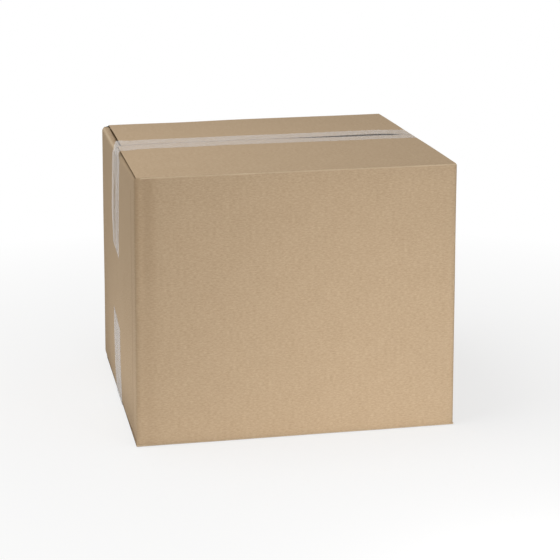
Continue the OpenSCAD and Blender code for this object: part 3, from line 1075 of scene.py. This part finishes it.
def studio_floor(c):
    """Matt white studio floor. The camera sees it nearly white, and it keeps a soft shadow. From
    below it isn't there."""
    material, tree = new_material("Matt white studio floor")
    place = add_node(tree, "ShaderNodeTexCoord").outputs["Object"]
    away = add_node(tree, "ShaderNodeVectorMath", {0: place}, operation="LENGTH").outputs["Value"]
    white_share = remap(tree, away, (0.22, 0.75), (0.72, 1.0))
    share = maths(tree, "MULTIPLY", seen_plainly(tree), white_share)
    paper = add_node(tree, "ShaderNodeBsdfDiffuse", {"Color": c.floor}).outputs[0]
    white = add_node(tree, "ShaderNodeEmission", {"Color": WHITE, "Strength": 1.0}).outputs[0]
    seen = add_node(tree, "ShaderNodeMixShader", {0: share, 1: paper, 2: white}).outputs[0]
    below = add_node(tree, "ShaderNodeNewGeometry").outputs["Backfacing"]
    gone = add_node(tree, "ShaderNodeBsdfTransparent").outputs[0]
    whole = add_node(tree, "ShaderNodeMixShader", {0: below, 1: seen, 2: gone}).outputs[0]
    add_node(tree, "ShaderNodeOutputMaterial", {0: whole})
    return material


# ---------------------------------------------------------------- flutes


def flute_tree():
    """A Geometry Nodes tree that turns lines along the cut edges into the fluted paper between
    the liners. Each line's points carry the way up and the way into the board."""
    tree = bpy.data.node_groups.new("Fluted paper", "GeometryNodeTree")
    face = tree.interface
    face.new_socket("Geometry", in_out="INPUT", socket_type="NodeSocketGeometry")
    for name in ("Pitch", "Height", "Paper", "Depth"):
        face.new_socket(name, in_out="INPUT", socket_type="NodeSocketFloat").subtype = "DISTANCE"
    face.new_socket("Material", in_out="INPUT", socket_type="NodeSocketMaterial")
    face.new_socket("Geometry", in_out="OUTPUT", socket_type="NodeSocketGeometry")
    given = add_node(tree, "NodeGroupInput").outputs

    def way(name):
        kind = "GeometryNodeInputNamedAttribute"
        return add_node(tree, kind, {"Name": name}, data_type="FLOAT_VECTOR").outputs[0]

    def scaled(vector, size):
        inputs = {0: vector, "Scale": size}
        return add_node(tree, "ShaderNodeVectorMath", inputs, operation="SCALE").outputs[0]

    def extruded(mesh, offset, mode, **more):
        inputs = {"Mesh": mesh, "Offset": offset, "Offset Scale": 1.0, **more}
        return add_node(tree, "GeometryNodeExtrudeMesh", inputs, mode=mode).outputs[0]

    up, into = way("way_up"), way("way_in")
    place = add_node(tree, "GeometryNodeInputPosition").outputs[0]
    x = add_node(tree, "ShaderNodeSeparateXYZ", {0: place}).outputs[0]
    turned = maths(tree, "MULTIPLY", maths(tree, "DIVIDE", x, given["Pitch"]), math.tau)
    half = maths(tree, "DIVIDE", maths(tree, "SUBTRACT", given["Height"], given["Paper"]), 2.0)
    rise = scaled(up, maths(tree, "MULTIPLY", maths(tree, "SINE", turned), half))
    inputs = {"Geometry": given[0], "Offset": rise}
    waved = add_node(tree, "GeometryNodeSetPosition", inputs).outputs[0]
    ribbon = extruded(waved, scaled(into, given["Depth"]), "EDGES")
    raised = extruded(ribbon, scaled(up, given["Paper"]), "FACES", Individual=False)
    lower = add_node(tree, "GeometryNodeFlipFaces", {"Mesh": ribbon}).outputs[0]
    joined = add_node(tree, "GeometryNodeJoinGeometry", {"Geometry": raised})
    tree.links.new(lower, joined.inputs["Geometry"])
    inputs = {"Geometry": joined.outputs[0], "Distance": 0.000001}
    closed = add_node(tree, "GeometryNodeMergeByDistance", inputs).outputs[0]
    inputs = {"Geometry": closed, "Material": given["Material"]}
    done = add_node(tree, "GeometryNodeSetMaterial", inputs).outputs[0]
    add_node(tree, "NodeGroupOutput", {0: done})
    return tree


def cut_edge_lines(d):
    """Lines along the middle of the board at the seams' four cut edges, a little inside the cut."""
    from_end, inside = 1.2, 0.25
    step = d.flute_pitch / 10
    lines = []
    for upper in (True, False):
        for side in (-1, 1):
            slot = right_slot = d.slot_under
            if upper:
                slot = d.slot_front if side < 0 else d.slot_back - d.flap_grows
                right_slot = d.seam_right
            right = d.right - right_slot
            xs = np.arange(d.left + slot + from_end, right - from_end, step)
            lift = d.lift if upper else 0.0
            gap = (seam_edge(xs, side, d) if upper else d.seam_under / 2) + inside
            z = d.crest - gap * math.tan(lift) if upper else d.floor
            out = np.array([0, side * math.sin(lift), math.cos(lift) if upper else -1.0])
            into = np.array([0, side * math.cos(lift), -math.sin(lift) if upper else 0.0])
            place = points(xs, side * gap, z)
            facing = np.broadcast_to(out, place.shape)
            place = place + facing * (settled(place, facing, d) - d.board / 2)[:, None]
            lines.append((crushed(place, d), out, into))
    return lines


# ---------------------------------------------------------------- operators


class CARTON_OT_fold_board(bpy.types.Operator):
    """Folds the slotted sheet of corrugated board into the closed carton"""

    bl_idname = "carton.fold_board"
    bl_label = "Fold the Board"

    def execute(self, context):
        sizes, colours = context.scene.carton_sizes, context.scene.carton_colours
        d = derived(sizes)
        lines, spans = ring_lines(d)
        sheet = Sheet()
        add_ring(sheet, lines, d)
        for upper in (True, False):
            for name, side in (("front", -1), ("back", 1)):
                add_long_flap(sheet, lines[spans[name]], side, upper, d)
            for name, side in (("left", -1), ("right", 1)):
                add_end_flap(sheet, lines[spans[name]], side, upper, d)
        verts, faces, kinds, flat, marks = thicken(sheet, d)
        materials = [kraft_linerboard(colours, sizes), raw_fluting(colours)]
        made = new_piece("carton_board", verts, faces, materials, flat, marks, 35, kinds)
        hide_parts("carton")
        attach(made, "root")
        return {"FINISHED"}


class CARTON_OT_corrugate_edges(bpy.types.Operator):
    """Lays the fluted paper between the liners along the cut edges of the seams"""

    bl_idname = "carton.corrugate_edges"
    bl_label = "Corrugate the Cut Edges"

    def execute(self, context):
        sizes = context.scene.carton_sizes
        verts, edges, ups, intos = [], [], [], []
        for place, up, into in cut_edge_lines(derived(sizes)):
            first = len(verts)
            verts += (place * MM).tolist()
            edges += [(first + i, first + i + 1) for i in range(len(place) - 1)]
            ups += [up] * len(place)
            intos += [into] * len(place)
        mesh = bpy.data.meshes.new("cut_edge_lines")
        mesh.from_pydata(verts, edges, [])
        for name, ways in (("way_up", ups), ("way_in", intos)):
            layer = mesh.attributes.new(name, "FLOAT_VECTOR", "POINT")
            layer.data.foreach_set("vector", np.array(ways, np.float32).ravel())
        source = bpy.data.objects.new("cut_edge_lines", mesh)
        context.scene.collection.objects.link(source)
        tree = flute_tree()
        wanted = {
            "Pitch": sizes.flute_pitch, "Height": sizes.board - 2 * sizes.liner - 0.1 * MM,
            "Paper": sizes.paper, "Depth": 2.2 * MM, "Material": bpy.data.materials["Raw cut fluting"],
        }
        modifier = source.modifiers.new("Fluted paper", "NODES")
        modifier.node_group = tree
        for item in tree.interface.items_tree:
            if item.in_out == "INPUT" and item.name in wanted:
                modifier[item.identifier] = wanted[item.name]
        made_from = source.evaluated_get(context.evaluated_depsgraph_get())
        flutes = bpy.data.meshes.new_from_object(made_from)
        bpy.data.objects.remove(source)
        made = bpy.data.objects.new("seam_flutes", flutes)
        flutes.name = "seam_flutes"
        context.scene.collection.objects.link(made)
        flutes.shade_smooth()
        flutes.set_sharp_from_angle(angle=math.radians(50))
        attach(made, "root")
        return {"FINISHED"}


class CARTON_OT_stick_tape(bpy.types.Operator):
    """Sticks the two strips of clear tape over the seams and round both ends"""

    bl_idname = "carton.stick_tape"
    bl_label = "Stick the Tape"

    def execute(self, context):
        scene = context.scene
        d, t = derived(scene.carton_sizes), in_millimetres(scene.carton_tape)
        film = clear_packing_film(scene.carton_colours)
        make_tape("top_tape_film", "top_tape", t, d, film, True)
        make_tape("bottom_tape_film", "bottom_tape", t, d, film, False)
        return {"FINISHED"}


class CARTON_OT_set_stage(bpy.types.Operator):
    """Sets the pale floor, the soft lamps, the white surroundings and the camera"""

    bl_idname = "carton.set_stage"
    bl_label = "Set the Stage"

    def execute(self, context):
        scene, studio = context.scene, context.scene.carton_studio

        def add(name, data):
            made = bpy.data.objects.new(name, data)
            scene.collection.objects.link(made)
            return made

        wide = 14  # metres from the middle to each side
        mesh = bpy.data.meshes.new("studio_floor")
        corners = [(x * wide, y * wide, UNDER) for x, y in ((-1, -1), (1, -1), (1, 1), (-1, 1))]
        mesh.from_pydata(corners, [], [(0, 1, 2, 3)])
        mesh.materials.append(studio_floor(scene.carton_colours))
        add("studio_floor", mesh)
        for name, place, aim, power, side in (
            ("top_lamp", (-0.3, -0.12, 1.0), (-0.05, 0, 0.25), studio.top, (0.6, 0.6)),
            ("low_lamp", (0.15, -0.62, 0.05), (0.06, -0.148, 0.02), studio.low, (0.08, 0.08)),
            ("front_card", (0, -0.2, 0.001), (0, -0.2, 1), studio.front_card, (0.4, 0.1)),
            ("left_card", (-0.27, -0.06, 0.001), (-0.27, -0.06, 1), studio.left_card, (0.16, 0.28)),
        ):
            data = bpy.data.lights.new(name, "AREA")
            data.shape, data.energy = "RECTANGLE", power
            data.size, data.size_y = side
            lamp = add(name, data)
            lamp.location = place
            lamp.visible_camera = False
            lamp.rotation_euler = (Vector(aim) - Vector(place)).to_track_quat("-Z", "Y").to_euler()
        world = bpy.data.worlds.new("Studio surroundings")
        world.use_nodes = True
        tree = world.node_tree
        tree.nodes.clear()
        inputs = {0: seen_plainly(tree), 2: studio.sky, 3: 1.0}
        level = add_node(tree, "ShaderNodeMix", inputs, data_type="FLOAT").outputs[0]
        around = add_node(tree, "ShaderNodeBackground", {"Strength": level, "Color": WHITE}).outputs[0]
        add_node(tree, "ShaderNodeOutputWorld", {0: around})
        scene.world = world
        data = bpy.data.cameras.new("photo_camera")
        data.lens, data.sensor_width, data.clip_end = studio.lens, 36, 100
        camera = add("photo_camera", data)
        camera.location = studio.camera
        aimed = Matrix.Rotation(studio.turn, 3, "Z") @ Matrix.Rotation(math.pi / 2 - studio.tilt, 3, "X")
        camera.rotation_euler = (aimed @ Matrix.Rotation(studio.roll, 3, "Z")).to_euler()
        scene.camera = camera
        scene.view_settings.view_transform = "Standard"
        return {"FINISHED"}


class CARTON_PT_panel(bpy.types.Panel):
    """Sizes, colours and steps of the closed carton"""

    bl_idname = "CARTON_PT_panel"
    bl_label = "Closed Carton"
    bl_space_type = "VIEW_3D"
    bl_region_type = "UI"
    bl_category = "Carton"

    def draw(self, context):
        layout, scene = self.layout, context.scene
        for title, group in (
            ("Board", scene.carton_sizes), ("Tape", scene.carton_tape),
            ("Colours", scene.carton_colours), ("Studio", scene.carton_studio),
        ):
            box = layout.box()
            box.label(text=title)
            for name in type(group).__annotations__:
                box.prop(group, name)
        for step in STEPS:
            layout.operator(step.bl_idname)


STEPS = (CARTON_OT_fold_board, CARTON_OT_corrugate_edges, CARTON_OT_stick_tape, CARTON_OT_set_stage)
GROUPS = {
    "carton_sizes": CartonSizes, "carton_tape": TapeSizes,
    "carton_colours": CartonColours, "carton_studio": StudioSetup,
}


def register():
    for kind in (*GROUPS.values(), *STEPS, CARTON_PT_panel):
        bpy.utils.register_class(kind)
    for name, kind in GROUPS.items():
        setattr(bpy.types.Scene, name, PointerProperty(type=kind))


def unregister():
    for name in GROUPS:
        delattr(bpy.types.Scene, name)
    for kind in reversed((*GROUPS.values(), *STEPS, CARTON_PT_panel)):
        bpy.utils.unregister_class(kind)


def main():
    register()
    bpy.ops.carton.fold_board()
    bpy.ops.carton.corrugate_edges()
    bpy.ops.carton.stick_tape()
    bpy.ops.carton.set_stage()


if __name__ == "__main__":
    main()
